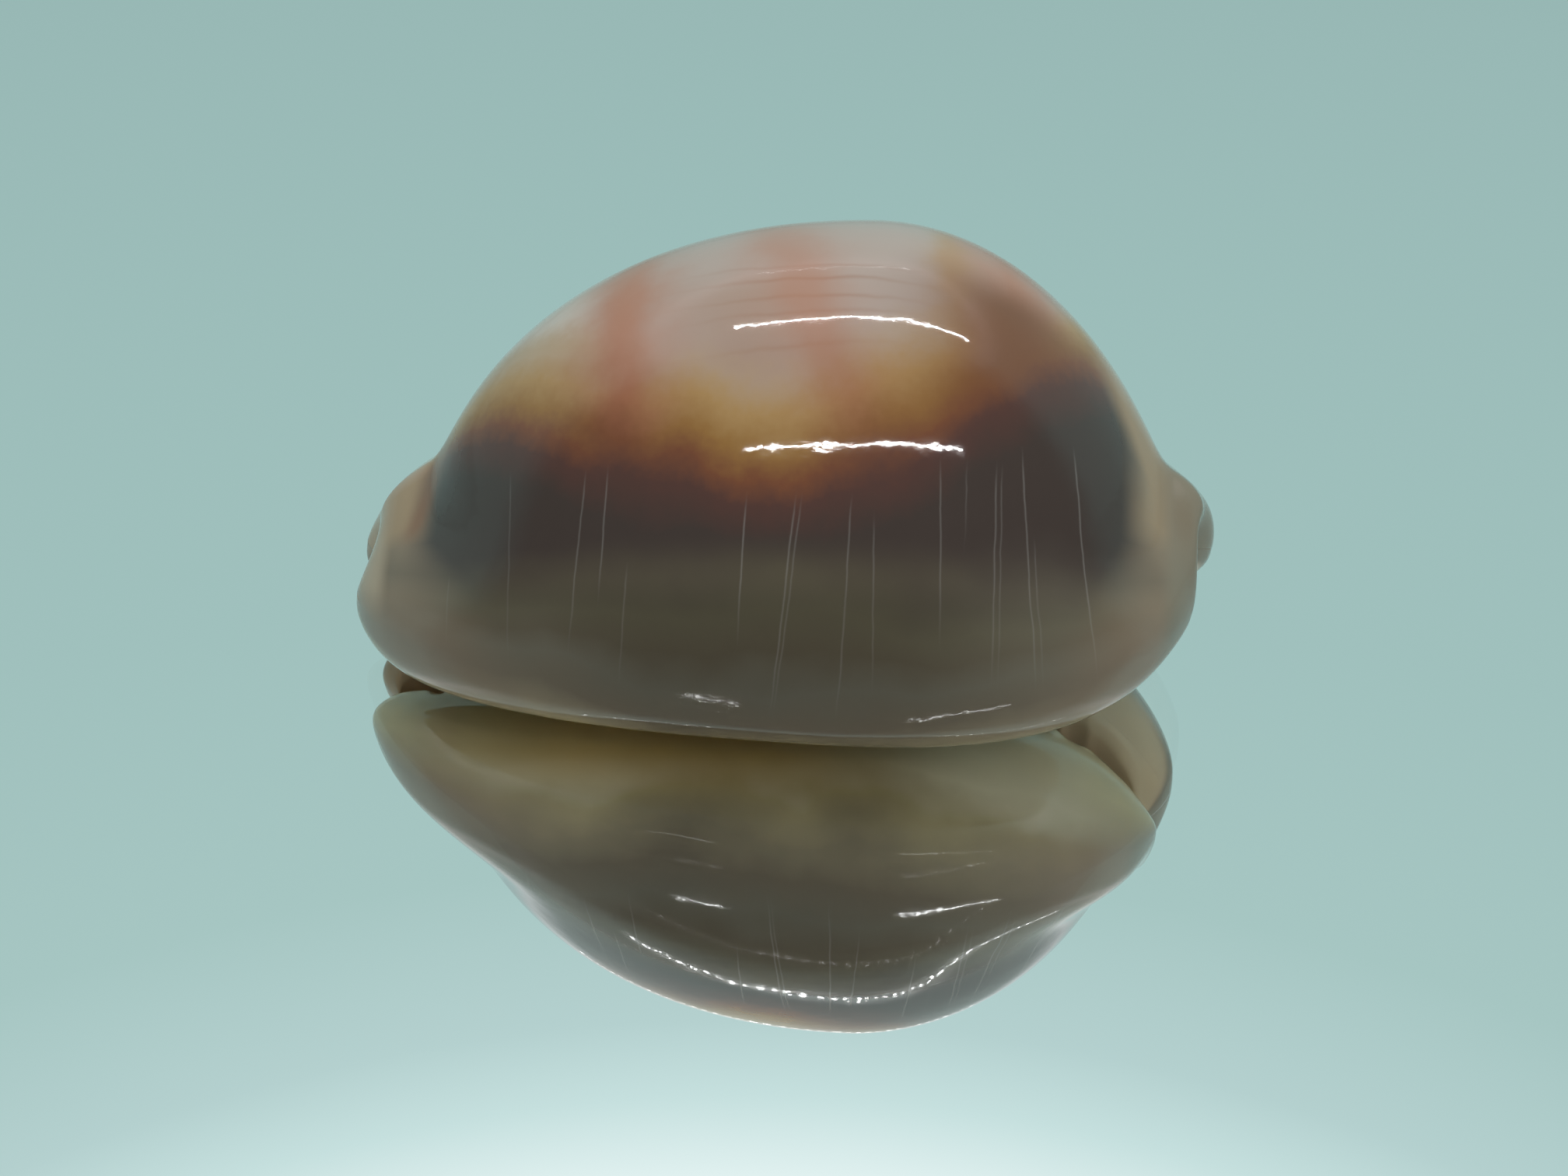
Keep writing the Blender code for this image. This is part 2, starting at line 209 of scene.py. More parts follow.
def station_sizes(t):
    """The dimensions of the section at t, from -1 (anterior) to 1 (posterior)."""
    plan = closing(t, OUTLINE_POWER, OUTLINE_ROOT)
    wide = plan * (1 + EGG * t)
    cap = closing(t, np.where(t < 0, TIP_BLUNT_ANTERIOR, TIP_BLUNT_POSTERIOR))
    slit_cap = closing(t, SLIT_BLUNT)
    slope = closing(t, CALLUS_SLOPE_POWER, 1 / CALLUS_SLOPE_ROOT)
    aperture = towards_ends(
        t, APERTURE_Y, APERTURE_Y_ANTERIOR, APERTURE_Y_POSTERIOR, APERTURE_POWER
    )
    gap = towards_ends(
        t, SLIT_HALF_WIDTH, SLIT_HALF_WIDTH_ANTERIOR, SLIT_HALF_WIDTH_POSTERIOR, SLIT_POWER
    )
    fullness = np.maximum(1 - t**2, 0) ** 2
    dip = MARGIN_DIP * fullness
    margin = towards_ends(
        t, MARGIN_HEIGHT, MARGIN_HEIGHT_ANTERIOR, MARGIN_HEIGHT_POSTERIOR, MARGIN_POWER
    )
    margin = margin - dip
    lift = towards_ends(t, 0.0, BASE_LIFT_ANTERIOR, BASE_LIFT_POSTERIOR, BASE_LIFT_POWER)
    thickness = margin - lift + WORN_FLAT
    x = HALF_LENGTH * t
    along = x - DOME_PEAK_X
    reach = np.where(along < 0, DOME_REACH_ANTERIOR, DOME_REACH_POSTERIOR)
    root = np.where(along < 0, DOME_ROOT_ANTERIOR, DOME_ROOT_POSTERIOR)
    arch = np.maximum(1 - (along / reach) ** 2, 0)
    return {
        "t": t,
        "x": x,
        "aperture": aperture,
        "margin": margin,
        "labral": LABRAL_HALF_WIDTH * wide - aperture * plan + TINY,
        "columellar": COLUMELLAR_HALF_WIDTH * wide + aperture * plan
        - COLUMELLAR_DRAWN_IN * fullness + TINY,
        "thickness": thickness,
        "below": thickness * cap + TINY,
        "labral_drop": LABRAL_DROP * np.maximum(t, 0) ** BASE_LIFT_POWER * cap,
        "labral_sag": towards_ends(t, 0.0, SAG_LABRAL_ANTERIOR, SAG_LABRAL_POSTERIOR, TIP_POWER),
        "columellar_sag": towards_ends(
            t, 0.0, SAG_COLUMELLAR_ANTERIOR, SAG_COLUMELLAR_POSTERIOR, TIP_POWER
        ),
        "above": CALLUS_RISE * slope + TINY,
        "fullness": fullness,
        "dome": DOME_HEIGHT * arch**root + dip + TINY,
        "dome_width": np.sqrt(arch),
        "slit": gap * slit_cap,
        "round": LIP_ROUND * slit_cap,
        "curl": LIP_CURL * cap,
        "hollow": closing(t / HOLLOW_REACH, HOLLOW_BLUNT),
    }


def outer_radius(size, angle):
    """Distance from the section's centre, over the slit, to the outside.

    The eighth root of the sum of the eighth powers of two radii: the callus,
    whose upper half has a softened keel, and the dome, which leans to one side.
    A bell of the angle fills out the flanks between them along the middle.
    """
    c, s = np.cos(angle), np.sin(angle)
    half = np.where(c > 0, size["labral"], size["columellar"])
    below = size["below"] + size["labral_drop"] * (c > 0)
    power = CALLUS_UPPER_POWER + (CALLUS_UPPER_POWER_MIDDLE - CALLUS_UPPER_POWER) * size["fullness"]
    rounded = (np.hypot(s, KEEL_ROUND) - KEEL_ROUND) / (math.hypot(1, KEEL_ROUND) - KEEL_ROUND)
    callus = np.where(
        s < 0,
        oval(c, s, half, below, BASE_POWER),
        oval(c, rounded, half, size["above"], power),
    )
    mean = (DOME_LABRAL + DOME_COLUMELLAR) / 2
    lean = (DOME_LABRAL - DOME_COLUMELLAR) / 2 - size["aperture"]
    dome_half = (mean + lean * c) * size["dome_width"] + TINY
    dome_high = np.where(s < 0, DOME_INSIDE * below, size["dome"])
    dome = oval(c, s, dome_half, dome_high, 2.0)
    flank = np.exp(-(((np.arcsin(np.clip(s, -1, 1)) - FLANK_FILL_ANGLE) / FLANK_FILL_SPREAD) ** 2))
    fill = FLANK_FILL * size["fullness"] * flank
    return (callus**BLEND_POWER + dome**BLEND_POWER) ** (1 / BLEND_POWER) + fill


def lip_angle(size, half, below):
    """Angle, from straight down, of the place where the base meets the lip's rounding."""
    off = size["slit"] + size["round"]
    share = np.minimum(off / half, LIP_LIMIT)
    drop = below * (1 - share**BASE_POWER) ** (1 / BASE_POWER)
    return np.arctan2(off, drop)


def outside(size, count):
    """The outside, from the labral lip over the dome to the columellar lip.

    Angle from one lip to the other, crowded at the lips; then y and z
    are the outer radius times its cosine and sine, with the base curled up to
    the slit and let down by the sag.
    """
    labral_below = size["below"] + size["labral_drop"]
    start = -math.pi / 2 + lip_angle(size, size["labral"], labral_below)
    end = 1.5 * math.pi - lip_angle(size, size["columellar"], size["below"])
    angle = start + (end - start) * crowded(count)[None]
    radius = outer_radius(size, angle)
    y, z = radius * np.cos(angle), radius * np.sin(angle)
    near_slit = ramp(1 - (np.abs(y) - size["slit"]) / LIP_CURL_REACH)
    curl = np.where(z < 0, size["curl"] * near_slit, 0.0)
    side = np.where(y > 0, size["labral_sag"], size["columellar_sag"])
    share = SAG_OF_BASE + (1 - SAG_OF_BASE) * ramp(1 + z / size["thickness"])
    return y, z + curl - side * ramp(np.abs(y) / SAG_REACH) * share


def hollow_radius(size, angle):
    """Outer radius less the wall, whose thickness runs from the sides' to the dome's."""
    c, s = np.cos(angle), np.maximum(np.sin(angle), 0)
    side = np.where(c > 0, LABRAL_WALL, COLUMELLAR_WALL)
    wall = side + (DORSAL_WALL - side) * s**WALL_POWER
    room = np.maximum(outer_radius(size, angle) - wall - size["slit"], 0)
    return size["slit"] + room * size["hollow"]


def inside(size, sign, edge_y, edge_z):
    """A quarter circle round the lip's edge, a straight wall up the slit, a quarter oval out.

    sign is 1 on the labral side and -1 on the columellar one.
    """
    turn = np.linspace(0, math.pi / 2, ROUND_POINTS + 1)[1:][None]
    round_y = edge_y - sign * size["round"] * np.sin(turn)
    round_z = edge_z + size["round"] * (1 - np.cos(turn))
    wall_top = np.minimum((LIP_THICKNESS - size["below"]) * size["hollow"], 0.0)
    up = np.linspace(0, 1, WALL_POINTS + 1)[1:][None]
    wall_y = round_y[:, [-1]] + (sign * size["slit"] - round_y[:, [-1]]) * up
    wall_z = round_z[:, [-1]] + (wall_top - round_z[:, [-1]]) * up
    level = 0.0 if sign > 0 else math.pi
    far = hollow_radius(size, np.full_like(size["x"], level))
    swing = np.linspace(0, math.pi / 2, HOLLOW_SIDE_POINTS + 1)[1:][None]
    side_y = sign * (size["slit"] + (far - size["slit"]) * np.sin(swing))
    side_z = wall_top * np.cos(swing)
    return np.hstack([round_y, wall_y, side_y]), np.hstack([round_z, wall_z, side_z])


def section_loops(t):
    """Closed loops of (y, z) about the slit, one row for each station."""
    size = station_sizes(t[:, None])
    y, z = outside(size, OUTSIDE_POINTS)
    labral_y, labral_z = inside(size, 1, y[:, [0]], z[:, [0]])
    columellar_y, columellar_z = inside(size, -1, y[:, [-1]], z[:, [-1]])
    over = math.pi * (1 - np.linspace(0, 1, HOLLOW_TOP_POINTS + 2)[1:-1][None])
    top = hollow_radius(size, over)
    y = np.hstack([y, columellar_y, top * np.cos(over), labral_y[:, ::-1]])
    z = np.hstack([z, columellar_z, top * np.sin(over), labral_z[:, ::-1]])
    return size, y, z


def growth_round():
    """For each point of a loop: its share of the way round, and how far inside it lies.

    The share runs from 0 at the labral lip to 1 at the columellar one. How far
    inside is 0 outside, goes to 1 round the lip, to 2 up the slit's wall and to
    3 in the hollow.
    """
    outside_shares = crowded(OUTSIDE_POINTS)
    inward = np.concatenate(
        [
            np.linspace(0, 1, ROUND_POINTS + 1)[1:],
            np.linspace(1, 2, WALL_POINTS + 1)[1:],
            np.linspace(2, 3, HOLLOW_SIDE_POINTS + 1)[1:],
        ]
    )
    top = np.linspace(1, 0, HOLLOW_TOP_POINTS)
    share = np.concatenate([outside_shares, np.ones_like(inward), top, np.zeros_like(inward)])
    depth = np.concatenate(
        [np.zeros_like(outside_shares), inward, np.full_like(top, 3), inward[::-1]]
    )
    return share, depth


def tooth_wave(t, count):
    """Ridges along a lip, -1 between them and 1 on their crests, dying out at the ends.

    A cosine, raised to a power as a share from 0 to 1 so that the crests are
    narrower than the gaps.
    """
    share = (1 + np.cos(math.pi * (t / TEETH_REACH + 1) * count)) / 2
    fade = np.where(t < 0, TEETH_FADE_ANTERIOR, TEETH_FADE_POSTERIOR)
    return (2 * share**TOOTH_SHARPNESS - 1) * ramp((TEETH_REACH - np.abs(t)) / fade)


def add_teeth(size, y, z):
    """Pushes the lips' points in and out along the section's own normal.

    Also gives, for each point, the height of the tooth wave there from -1 to 1.
    """
    dy = np.roll(y, -1, 1) - np.roll(y, 1, 1)
    dz = np.roll(z, -1, 1) - np.roll(z, 1, 1)
    length = np.hypot(dy, dz) + TINY
    low = z < -TEETH_TOP * size["below"]
    wave = np.zeros_like(y)
    for sign, count, reach in (
        (1, LABRAL_TEETH, LABRAL_TOOTH_LENGTH),
        (-1, COLUMELLAR_TEETH, COLUMELLAR_TOOTH_LENGTH),
    ):
        from_slit = sign * y - size["slit"]
        fade = ramp(1 - from_slit / reach) * low * (sign * y > 0)
        wave += fade * tooth_wave(size["t"], count)
    height = TOOTH_HEIGHT * wave
    return y + dz / length * height, z - dy / length * height, wave


def stations():
    """Places from -1 to 1: many to each labral tooth, then closer and closer to each tip."""
    middle = np.linspace(-TEETH_REACH, TEETH_REACH, LABRAL_TEETH * STATIONS_PER_TOOTH + 1)
    turn = np.linspace(0, math.acos(TEETH_REACH), END_STATIONS + 1)[1:]
    end = np.cos(turn[:-1])
    return np.concatenate([-end, middle, end[::-1]])


def towards_tip(t, y, z):
    """How far the ends are drawn out along x, and up, at (y, z) from the notch's head.

    The lobes reach out below the head by a ramp of the height, the labral one
    leads by a tanh of y, and the notch is a bell across the slit pushed in and up.
    """
    reach = np.where(t > 0, LOBE_REACH_POSTERIOR, LOBE_REACH_ANTERIOR)
    lead = np.where(t > 0, LABRAL_LEAD_POSTERIOR, LABRAL_LEAD_ANTERIOR)
    lobes = reach * ramp((LOBE_TOP - z) / LOBE_DEPTH) + lead * np.tanh(y / LEAD_WIDTH)
    notch = np.exp(-((y / NOTCH_HALF_WIDTH) ** 2) - (np.maximum(z, 0) / NOTCH_FADE) ** 2)
    late = np.abs(t) ** TIP_POWER
    return np.sign(t) * (lobes - NOTCH_DEPTH * notch) * late, NOTCH_LIFT * notch * late


def shell_grid():
    """Every station's loop as a row of points, and each point's place in the shell's growth."""
    size, y, z = section_loops(stations())
    y, z, wave = add_teeth(size, y, z)
    out, up = towards_tip(size["t"], y, z)
    height = np.maximum(size["margin"] + z + up, 0.0)
    share, depth = growth_round()
    growth = np.stack([share + 0 * y, depth + 0 * y, wave], -1)
    return np.stack([size["x"] + out, size["aperture"] + y, height], -1), growth


def notch_head(side):
    """The point that the loops shrink to: side is -1 at the anterior end, 1 at the posterior."""
    size = station_sizes(np.array([[float(side)]]))
    out, up = towards_tip(size["t"], 0.0, 0.0)
    head = (size["x"] + out, size["aperture"], size["margin"] + up)
    return np.array([value.item() for value in head])


def onto_solid(points):
    """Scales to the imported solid's length, then moves to its middle in x and y, its foot in z."""
    low, high = (np.array(corner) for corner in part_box("shell"))
    mine_low, mine_high = points.min(axis=0), points.max(axis=0)
    scale = (high[0] - low[0]) / (mine_high[0] - mine_low[0])
    middle = (mine_low + mine_high) / 2
    middle[2] = mine_low[2]
    rest = (low + high) / 2
    rest[2] = low[2]
    return (points - middle) * scale + rest


def new_object(name, points, faces, material):
    """A mesh of the points and faces with one material, in an object at the origin."""
    mesh = bpy.data.meshes.new(name)
    mesh.from_pydata(points, [], faces)
    mesh.materials.append(material)
    made = bpy.data.objects.new(name, mesh)
    bpy.context.scene.collection.objects.link(made)
    return made


def shell_piece(material):
    """The grid as one closed mesh: quads between the loops, a fan of triangles at each end."""
    grid, growth = shell_grid()
    rows, count = grid.shape[:2]
    points = np.vstack([grid.reshape(-1, 3), notch_head(-1), notch_head(1)])
    i = np.arange(rows - 1)[:, None] * count
    j = np.arange(count)[None]
    k = (j + 1) % count
    quads = np.stack([i + j, i + k, i + count + k, i + count + j], -1).reshape(-1, 4)
    j, k = j[0], k[0]
    last = (rows - 1) * count
    first_fan = np.stack([k, j, np.full(count, rows * count)], -1)
    last_fan = np.stack([last + j, last + k, np.full(count, rows * count + 1)], -1)
    faces = [*quads, *first_fan, *last_fan]
    piece = new_object("cowrie_surface", onto_solid(points), faces, material)
    at_heads = np.array([[HEAD_SHARE, 0, 0]] * 2)
    places = np.vstack([growth.reshape(-1, 3), at_heads]).astype(np.float32)
    attribute = piece.data.attributes.new("growth", "FLOAT_VECTOR", "POINT")
    attribute.data.foreach_set("vector", places.ravel())
    piece.data.shade_smooth()
    return piece


class Wire:
    """A value on its way through a node tree. Arithmetic on wires adds Math nodes."""

    def __init__(self, nodes, socket):
        self.nodes = nodes
        self.socket = socket

    def __add__(self, other):
        return self.nodes.math("ADD", self, other)

    __radd__ = __add__

    def __sub__(self, other):
        return self.nodes.math("SUBTRACT", self, other)

    def __rsub__(self, other):
        return self.nodes.math("SUBTRACT", other, self)

    def __mul__(self, other):
        return self.nodes.math("MULTIPLY", self, other)

    __rmul__ = __mul__

    def __truediv__(self, other):
        return self.nodes.math("DIVIDE", self, other)

    def __pow__(self, other):
        return self.nodes.math("POWER", self, other)

    def __abs__(self):
        return self.nodes.math("ABSOLUTE", self)


def set_stops(color_ramp, places):
    """Fills a colour ramp with (place, colour) pairs."""
    stops = color_ramp.elements
    while len(stops) < len(places):
        stops.new(0.5)
    for stop, (at, colour) in zip(stops, places):
        stop.position = at
        stop.color = (*colour, 1)


class Nodes:
    """The node tree of a material, or of the studio's light, under construction."""

    def __init__(self, tree):
        self.tree = tree

    def node(self, kind, settings=None, sockets=None, out=0):
        """One output of a new node: its settings come first, then its sockets' values or links."""
        made = self.tree.nodes.new(kind)
        for name, value in (settings or {}).items():
            if name == "stops":
                set_stops(made.color_ramp, value)
            else:
                setattr(made, name, value)
        for name, value in (sockets or {}).items():
            self.put(value, made.inputs[name])
        return Wire(self, made.outputs[out])

    def put(self, value, socket):
        """Links a wire to the socket, or sets the socket's own value."""
        if isinstance(value, Wire):
            self.tree.links.new(value.socket, socket)
        elif isinstance(value, tuple) and len(value) == 3 and socket.type == "RGBA":
            socket.default_value = (*value, 1)
        else:
            socket.default_value = value

    def math(self, operation, *values):
        """One Math node."""
        return self.node("ShaderNodeMath", {"operation": operation}, dict(enumerate(values)))

    def part(self, vector, axis):
        """The x, y or z of a vector."""
        return self.node("ShaderNodeSeparateXYZ", {}, {0: vector}, axis)

    def step(self, value, start, full):
        """0 up to the start, 1 from full, smooth between; it falls if the start is above full."""
        return self.node(
            "ShaderNodeMapRange",
            {"interpolation_type": "SMOOTHSTEP"},
            {"Value": value, "From Min": start, "From Max": full},
        )

    def held(self, value, low, high):
        """The value, kept from going below low or above high."""
        return self.math("MINIMUM", self.math("MAXIMUM", value, low), high)

    def bell(self, value, middle, half_width):
        """e to the minus square of the distance from the middle, in half widths."""
        off = (value - middle) / half_width
        return self.math("EXPONENT", 0.0 - off * off)

    def ramp(self, value, low, high, stops):
        """The colour that the stops, placed from low to high, give at the value."""
        places = [((at - low) / (high - low), colour) for at, colour in stops]
        return self.node(
            "ShaderNodeValToRGB", {"stops": places}, {"Fac": (value - low) / (high - low)}
        )

    def blend(self, share, first, second):
        """The first colour where the share is 0, the second where it is 1."""
        return self.node(
            "ShaderNodeMix", {"data_type": "RGBA"}, {"Factor": share, "A": first, "B": second}, 2
        )

    def noise(self, place, scale, detail):
        """Noise from 0 to 1; the scale is in features to the metre."""
        return self.node(
            "ShaderNodeTexNoise", {}, {"Vector": place, "Scale": scale, "Detail": detail}
        )


class Finish(Nodes):
    """One material, with the shader that a new material has."""

    def __init__(self, name):
        self.material = bpy.data.materials.new(name)
        self.material.use_nodes = True
        super().__init__(self.material.node_tree)
        self.surface = self.tree.nodes["Principled BSDF"]

    def wear(self, values):
        """Puts values or wires on the shader's own sockets."""
        for name, value in values.items():
            self.put(value, self.surface.inputs[name])


# The markings. Places are shares of the way round, from the labral lip (_ROUND), from the
# dorsal line (_DOWN) or past the dorsal field's edge (_EDGE), and millimetres along the
# shell (_ALONG, less than 0 on the anterior side) or from its middle (_OUTWARD). A pair
# that is not described otherwise is a step: where it starts, and where it is full
DORSAL_LINE = 0.47
POSTERIOR_ALONG = (0.0, 5.0)

# Noises: features to the metre, and detail
BROAD_NOISE = (130, 2.0)
FINE_NOISE = (420, 3.0)
GRAIN_NOISE = (1800, 2.0)
BROAD_WANDER = 3.0             # millimetres that the broad noise moves most markings by
FINE_WANDER = 2.0

# Pale dorsal field
FIELD_HALF = 0.168             # half width at its widest
FIELD_WIDEST = -1.0
FIELD_ANTERIOR = 16.0          # length over which it narrows by FIELD_NARROWS_ANTERIOR
FIELD_POSTERIOR = 18.0         # and by FIELD_NARROWS_POSTERIOR
FIELD_NARROWS_ANTERIOR = 0.075
FIELD_NARROWS_POSTERIOR = 0.103
DENT = 0.013                   # a dent in the field's edge
DENT_MIDDLE = -4.4
DENT_HALF = 1.8
EDGE_BROAD = 0.03              # how much each noise moves the edge
EDGE_FINE = 0.014
EDGE_GRAIN = 0.008
PALER_ALONG = (-8.0, -12.0)

# Golden rim of the field: it starts inside the edge, and further in near the anterior end
RIM_EDGE = (-0.070, -0.038)
RIM_FURTHER_IN = 0.022
RIM_FURTHER_ALONG = (-6.0, -11.0)

# Transverse bands across the dorsal field: (middle, half width, lean, strength)
BANDS = (
    (-8.2, 2.3, 0.0, 1.0),
    (-0.2, 2.4, 45.0, 0.68),
    (12.3, 2.6, 0.0, 1.0),
)
BAND_TURN = 0.05               # share over which a leaning band turns at the dorsal line

# Brown wash over the posterior part of the field
WASH_MIDDLE = 11.8
WASH_HALF = 4.0
WASH_ROUND = (0.505, 0.54)
WASH_EDGE = (0.01, -0.02)
WASH_SHOWS = 0.95

# Golden edge on the anterior side of the last band
HALO_MIDDLE = 9.3
HALO_HALF = 1.2
HALO_ROUND = (0.45, 0.49)
HALO_SHOWS = 0.75

# Faint rosy veil over the middle of the field
VEIL_MIDDLE = -2.0
VEIL_HALF = 4.5
VEIL_ROUND = (0.515, 0.545)
VEIL_SHOWS = 0.42

# Fine brown streaks that run along the dorsum: (share, rise to the posterior, strength)
STREAKS = (
    (0.526, 0.0006, 0.40),
    (0.535, 0.0005, 0.60),
    (0.546, 0.0004, 0.50),
    (0.555, 0.0002, 0.40),
    (0.572, -0.0002, 0.35),
)
STREAK_HALF = 0.0012
STREAKS_MIDDLE = 1.5
STREAKS_HALF = 4.5
STREAK_BROAD = 0.006           # how much each noise moves a streak
STREAK_FINE = 0.004

# Flanks: their tones crowd together towards both ends of the shell
FLANK_DOWN = (0.19, 0.215)
FLANK_BROAD = 0.06             # how much each noise moves the tones
FLANK_FINE = 0.012
CROWDED_OUTWARD = (4.0, 15.0)
CROWDED_DOWN = (0.23, 0.31)
CROWDED_HIGH = 0.028           # share that the high tones come down by
CROWDED_LOW = 0.016            # share that the low tones go up by

# Grey cast on the lower flanks, away from the middle; it starts higher up towards the posterior
CAST_DOWN = (0.23, 0.31)
CAST_BROAD = 0.05
CAST_HIGHER = 0.04
CAST_HIGHER_ALONG = (0.0, 8.0)
CAST_OUTWARD = (5.0, 16.0)
CAST_ABOVE_BASE = (0.39, 0.34)
CAST_SHOWS = 0.32

# Base: yellow in the middle and anterior, brown at the anterior end
YELLOW_ALONG = (12.0, -2.0)
YELLOW_DOWN = (0.37, 0.415)
BROWN_ALONG = (-18.0, -21.0)
BROWN_DOWN = (0.38, 0.43)
BROWN_SHOWS = 0.95

# Growth lines on the columellar flank: (place, lean, upper end, lower end, strength)
GROWTH_LINES = (
    (-14.4, 0.0, 0.61, 0.78, 0.35),
    (-10.2, -7.0, 0.62, 0.76, 0.6),
    (-8.9, -5.0, 0.62, 0.72, 0.7),
    (-7.4, -6.0, 0.68, 0.78, 0.5),
    (-1.4, -4.0, 0.64, 0.74, 0.8),
    (1.1, -8.0, 0.64, 0.79, 0.7),
    (1.4, -9.0, 0.64, 0.79, 0.5),
    (4.0, -3.0, 0.64, 0.79, 0.6),
    (5.2, 2.0, 0.65, 0.77, 0.5),
    (8.6, 3.0, 0.62, 0.74, 0.6),
    (9.9, 0.0, 0.62, 0.68, 0.4),
    (11.5, 2.0, 0.62, 0.77, 0.6),
    (11.8, 2.5, 0.62, 0.77, 0.4),
    (13.1, 9.0, 0.61, 0.78, 0.7),
    (13.5, 9.0, 0.66, 0.78, 0.4),
    (16.2, 11.0, 0.60, 0.79, 0.8),
    (-18.2, 0.0, 0.70, 0.79, 0.4),
)
GROWTH_LINE_HALF = 0.045
GROWTH_LINE_FROM = 0.65        # the share round at which its place is given
GROWTH_LINE_WANDER = 0.2
GROWTH_LINE_STARTS = 0.02      # shares over which it starts and fades
GROWTH_LINE_FADES = 0.05
GROWTH_LINES_SHOW = 0.34

# Beige ends
ENDS_FROM = 19.3               # millimetres from the middle at which they start
ENDS_OVER = 2.6                # millimetres over which they become full
ENDS_NEARER = 9.5              # how much nearer to the middle they start low down
ENDS_OVER_MORE = 10.5          # how many more millimetres they take there
ENDS_LOW_FROM = 0.19           # where low down begins, from the dorsal line
ENDS_LOW_OVER = 0.16
ENDS_WANDER = 1.5
CREST_DOWN = (0.11, 0.05)      # the posterior end starts nearer to the middle on the crest
CREST_NEARER = 2.0
SHOULDER_DOWN = (0.25, 0.17)   # and, by less, on the shoulders
SHOULDER_NEARER = 0.9
PALE_TIP_ALONG = (-22.3, -23.6)
PALE_TIP_DOWN = (0.35, 0.25)
GREY_TIP_ALONG = (21.0, 22.5)
GREY_TIP_DOWN = (0.40, 0.33)

# Orange-brown crease where the dome meets the anterior end, darkened further as painted shade of
# the valley there
CREASE_X = -19.3
CREASE_LEAN = 10.0             # millimetres towards that end for each unit of share down
CREASE_HALF = 0.7
CREASE_WANDER = 0.8
CREASE_DOWN = (0.20, 0.15)
CREASE_SHOWS = 0.75

# Gaps between the teeth, the labral base at both ends, the slit's walls and the hollow; the walls
# turn pale towards the posterior as painted light against the slit's shade. The way _INWARD goes to
# 1 round the lip, to 2 up the slit's wall and to 3 in the hollow
TOOTH_GAPS = (0.1, -0.6)       # heights of the tooth wave
LABRAL_BASE_ROUND = (0.13, 0.08)
LOBE_ALONG = (15.0, 18.0)
LOBE_SHOWS = 0.85
TIP_ALONG = (-20.0, -21.5)
TIP_SHOWS = 0.9
WALLS_INWARD = (0.5, 1.5)
WALLS_OUTWARD = (8.0, 18.0)
WALLS_PAINTED_LIGHT_ALONG = (8.0, 14.0)
WALLS_SHOW = 0.8
HOLLOW_INWARD = (2.0, 2.6)
HOLLOW_OUTWARD = (22.0, 16.0)

# Gloss, and the slight waves in it: (features to the metre, height in metres)
GLAZE_ROUGHNESS = 0.05
GLAZE_IOR = 1.55
WAVES = (
    (260, 3e-5),
    (900, 1.1e-5),
    (3000, 2.5e-6),
)
WAVE_DETAIL = 1.0

# Albedos, linear
PALE = (0.43, 0.35, 0.31)
PALE_ANTERIOR = (0.56, 0.48, 0.42)
SALMON = (0.42, 0.200, 0.130)
RUST = (0.33, 0.135, 0.072)
CREAM = (0.45, 0.33, 0.215)
GOLD = (0.41, 0.255, 0.105)
OCHRE = (0.30, 0.160, 0.048)
BROWN = (0.185, 0.070, 0.034)
WASH_BROWN = (0.165, 0.070, 0.032)
PLUM = (0.085, 0.043, 0.036)
SLATE = (0.046, 0.040, 0.036)
OLIVE = (0.105, 0.098, 0.063)
UMBER = (0.100, 0.088, 0.058)
TAUPE = (0.140, 0.135, 0.102)
STONE = (0.150, 0.130, 0.092)
FAWN = (0.27, 0.23, 0.15)
SAND = (0.50, 0.42, 0.24)
BASE_CREAM = (0.93, 0.85, 0.63)
BASE_YELLOW = (0.84, 0.62, 0.265)
BASE_BROWN = (0.50, 0.175, 0.036)
END_PALE = (0.45, 0.37, 0.285)
END_BEIGE = (0.36, 0.255, 0.150)
END_TIP = (0.43, 0.34, 0.235)
END_FAWN = (0.24, 0.185, 0.125)
END_DARK = (0.180, 0.145, 0.100)
END_LOW = (0.28, 0.225, 0.165)
END_GREY = (0.22, 0.195, 0.140)
SIDE_GREY = (0.27, 0.255, 0.195)
# Crease colour: the shell's orange-brown, darkened as painted shade of the valley between dome and
# end
CREASE_BROWN_AND_SHADE = (0.22, 0.11, 0.06)
STREAK_BROWN = (0.30, 0.17, 0.12)
VEIL_ROSE = (0.33, 0.17, 0.095)
LINE_WHITE = (0.40, 0.39, 0.37)
LOBE_BROWN = (0.50, 0.40, 0.27)
TIP_BROWN = (0.30, 0.19, 0.105)
WALL_BROWN = (0.36, 0.19, 0.085)
# Painted light: a pale wall colour that lifts the shade in the slit
WALL_PAINTED_LIGHT = (0.72, 0.54, 0.36)
TOOTH_RED = (0.22, 0.055, 0.022)
HOLLOW_WHITE = (0.62, 0.58, 0.54)

